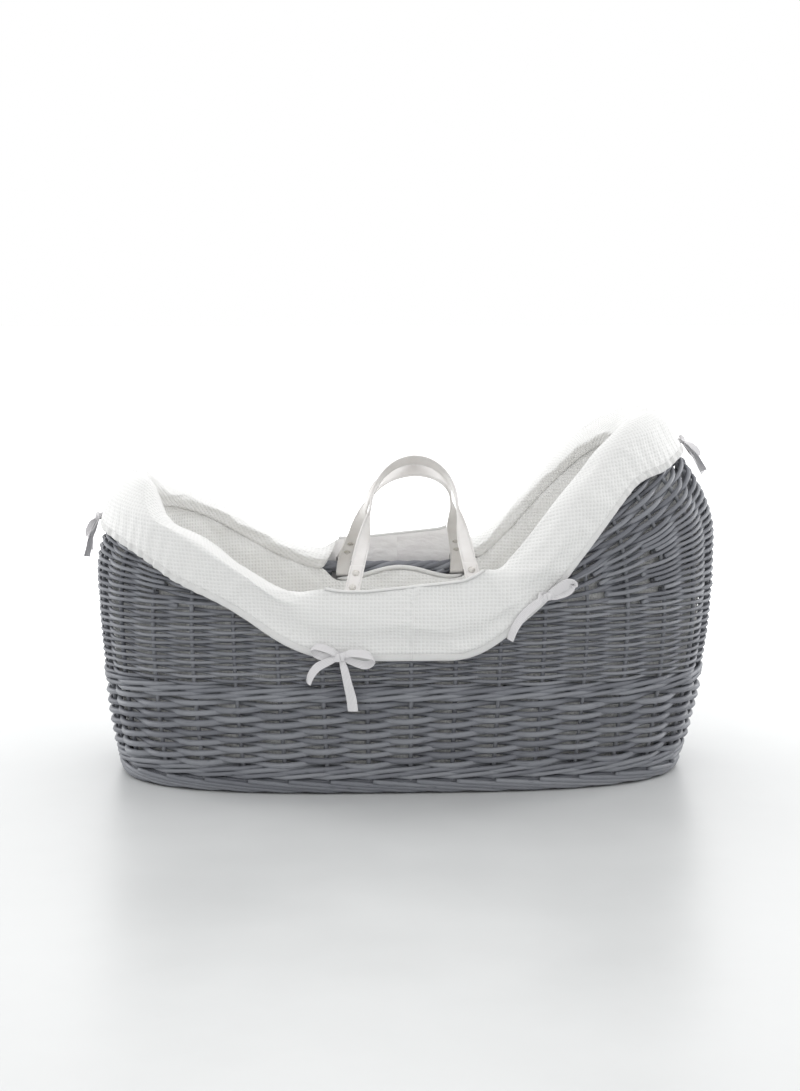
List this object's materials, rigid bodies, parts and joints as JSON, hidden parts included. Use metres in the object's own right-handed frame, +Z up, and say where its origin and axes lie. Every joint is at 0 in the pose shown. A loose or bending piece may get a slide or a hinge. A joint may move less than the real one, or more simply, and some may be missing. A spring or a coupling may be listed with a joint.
{
  "type": "moses basket",
  "caption": "Woven wicker moses basket with a high head end, padded fabric liner rolled over the rim, two swinging strap handles and a lift-out mattress.",
  "frame": {"origin": "on the floor under the middle of the overall length and width", "axes": "+X towards the high head end, +Y towards the far side, +Z up"},
  "size_m": [0.7932, 0.4064, 0.4526],
  "materials": {
    "wicker": "satin grey paint",
    "liner_fabric": "waffle weave cotton",
    "binding": "bias binding",
    "tie_ribbon": "ribbed cotton tape",
    "strap": "matt coated leather",
    "rivet_metal": "satin",
    "foam": "open-cell foam",
    "mattress_fabric": "quilted cotton"
  },
  "bodies": {
    "basket": {"base_stick_1": "wicker", "base_stick_2": "wicker", "base_stick_3": "wicker", "base_stick_4": "wicker", "base_stick_5": "wicker", "base_weave": "wicker", "foot_border": "wicker", "upset_wale": "wicker", "lower_weave": "wicker", "mid_wale": "wicker", "upper_weave": "wicker", "rim_border": "wicker", "stakes_head": "wicker", "stakes_far": "wicker", "stakes_foot": "wicker", "stakes_near": "wicker", "liner_floor": "liner_fabric", "liner_wall": "liner_fabric", "flap_head": "liner_fabric", "flap_foot": "liner_fabric", "hem_head": "binding", "hem_foot": "binding", "slit_binding_near": "binding", "slit_binding_far": "binding", "tie_near_foot": "tie_ribbon", "tie_near_head": "tie_ribbon", "tie_far_foot": "tie_ribbon", "tie_far_head": "tie_ribbon", "tie_head": "tie_ribbon", "tie_foot": "tie_ribbon"},
    "near_handle": {"near_strap": "strap", "near_rivet_1": "rivet_metal", "near_rivet_2": "rivet_metal", "near_rivet_3": "rivet_metal", "near_rivet_4": "rivet_metal"},
    "far_handle": {"far_strap": "strap", "far_rivet_1": "rivet_metal", "far_rivet_2": "rivet_metal", "far_rivet_3": "rivet_metal", "far_rivet_4": "rivet_metal"},
    "mattress": {"mattress_core": "foam", "mattress_cover": "mattress_fabric"}
  },
  "joints": [
    {"name": "near_handle_swing", "type": "hinge", "parent": "basket", "child": "near_handle", "pos_m": [0.0085, -0.17461, 0.22212], "axis": [0.9997, -0.0013, 0.0231], "range_deg": [0, 48]},
    {"name": "far_handle_swing", "type": "hinge", "parent": "basket", "child": "far_handle", "pos_m": [0.0085, 0.17461, 0.22212], "axis": [-0.9997, -0.0013, -0.0231], "range_deg": [0, 42]},
    {"name": "mattress_lift", "type": "slide", "parent": "basket", "child": "mattress", "axis": [0, 0, 1], "range_m": [0, 0.17]}
  ]
}
